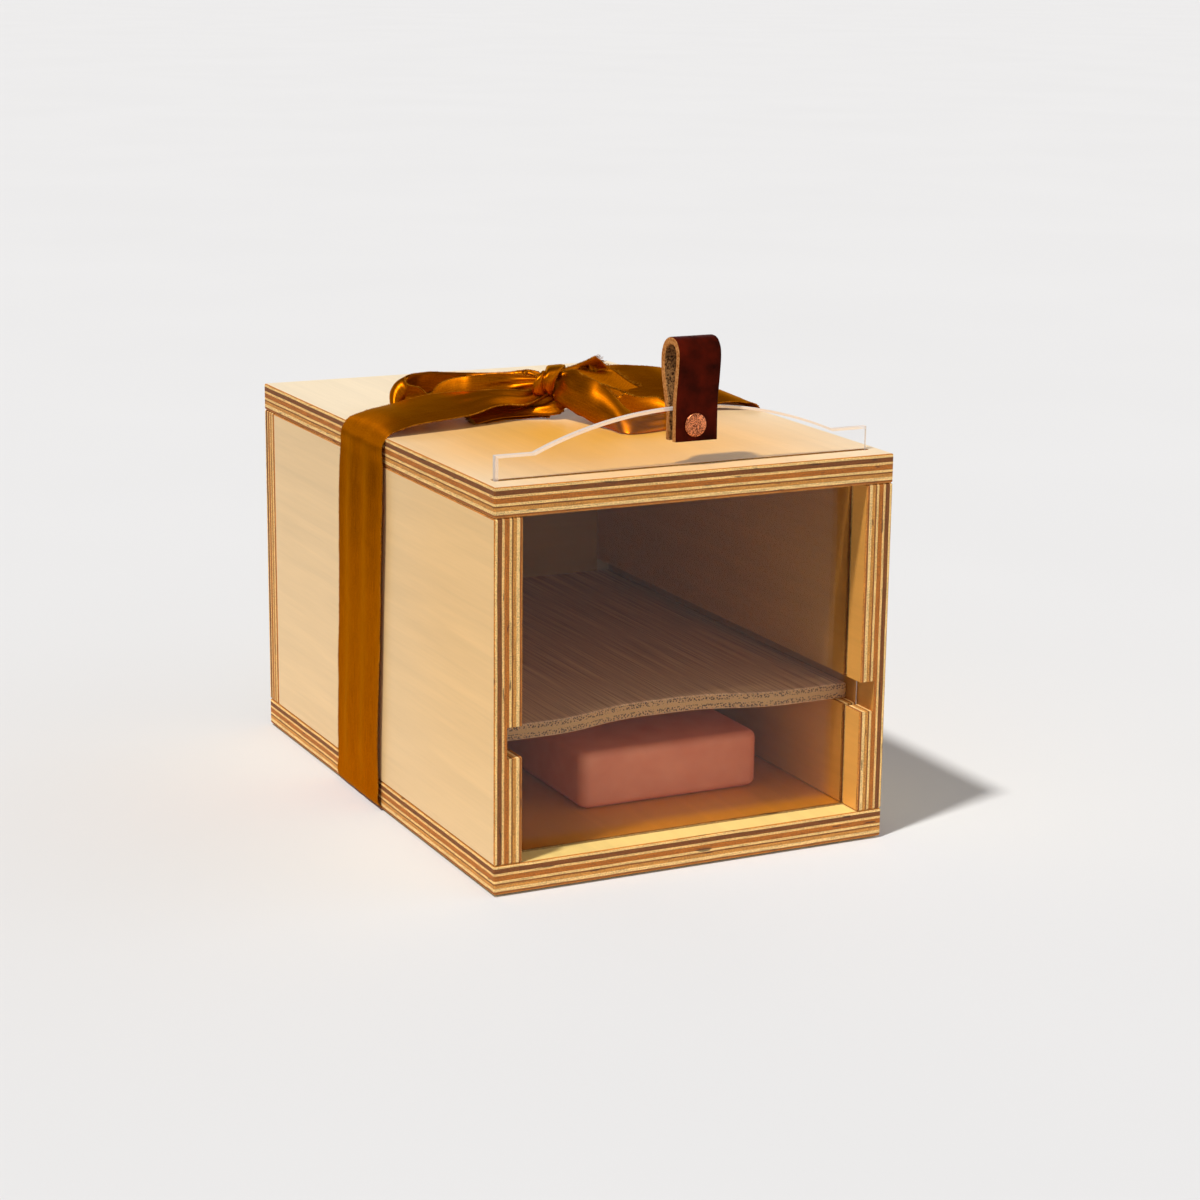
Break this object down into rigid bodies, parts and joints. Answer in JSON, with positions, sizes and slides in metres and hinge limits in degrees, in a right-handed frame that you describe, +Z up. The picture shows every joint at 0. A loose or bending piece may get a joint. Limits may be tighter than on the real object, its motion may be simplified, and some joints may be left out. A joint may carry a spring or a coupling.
{
  "type": "cheese storage box",
  "caption": "Plywood cheese box with a clear lift-out front door, a leather pull, a sliding bamboo shelf, a clay humidity brick and a satin ribbon tied in a bow.",
  "frame": {"origin": "on the surface the box stands on, under the middle of its outline", "axes": "+Z up, -Y towards the door at the front, +X to the right seen from the front"},
  "size_m": [0.1776, 0.26, 0.2135],
  "materials": {
    "birch_plywood": "sanded, clear matte finish",
    "beech": "raw",
    "clear_acrylic": "polished, clear",
    "leather": "waxed, raw cut edges",
    "copper": "hammered copper",
    "bamboo": "carbonised three-ply bamboo, oiled",
    "clay": "unglazed terracotta",
    "satin_ribbon": "woven satin"
  },
  "bodies": {
    "case": {"bottom_panel": "birch_plywood", "left_side_panel": "birch_plywood", "right_side_panel": "birch_plywood", "back_panel": "birch_plywood", "top_panel": "birch_plywood", "dowel_bottom_left_1": "beech", "dowel_bottom_left_2": "beech", "dowel_bottom_left_3": "beech", "dowel_bottom_right_1": "beech", "dowel_bottom_right_2": "beech", "dowel_bottom_right_3": "beech", "dowel_bottom_back_1": "beech", "dowel_bottom_back_2": "beech", "dowel_top_left_1": "beech", "dowel_top_left_2": "beech", "dowel_top_left_3": "beech", "dowel_top_right_1": "beech", "dowel_top_right_2": "beech", "dowel_top_right_3": "beech", "dowel_top_back_1": "beech", "dowel_top_back_2": "beech", "ribbon_under": "satin_ribbon", "ribbon_left_side": "satin_ribbon", "ribbon_right_side": "satin_ribbon", "ribbon_left_band": "satin_ribbon", "ribbon_right_band": "satin_ribbon", "bow_knot": "satin_ribbon", "bow_back_loop": "satin_ribbon", "bow_front_loop": "satin_ribbon", "bow_right_tail": "satin_ribbon", "bow_left_tail": "satin_ribbon"},
    "door": {"door_pane": "clear_acrylic", "leather_pull": "leather", "rivet": "copper", "rivet_burr": "copper"},
    "shelf": {"shelf": "bamboo"},
    "brick": {"clay_brick": "clay"}
  },
  "joints": [
    {"name": "door_lift", "type": "slide", "parent": "case", "child": "door", "axis": [0, 0, 1], "range_m": [0, 0.16]},
    {"name": "shelf_slide", "type": "slide", "parent": "case", "child": "shelf", "axis": [0, -1, 0], "range_m": [0, 0.0072]},
    {"name": "brick_slide", "type": "slide", "parent": "case", "child": "brick", "axis": [0, -1, 0], "range_m": [-0.09, 0.0325]}
  ]
}
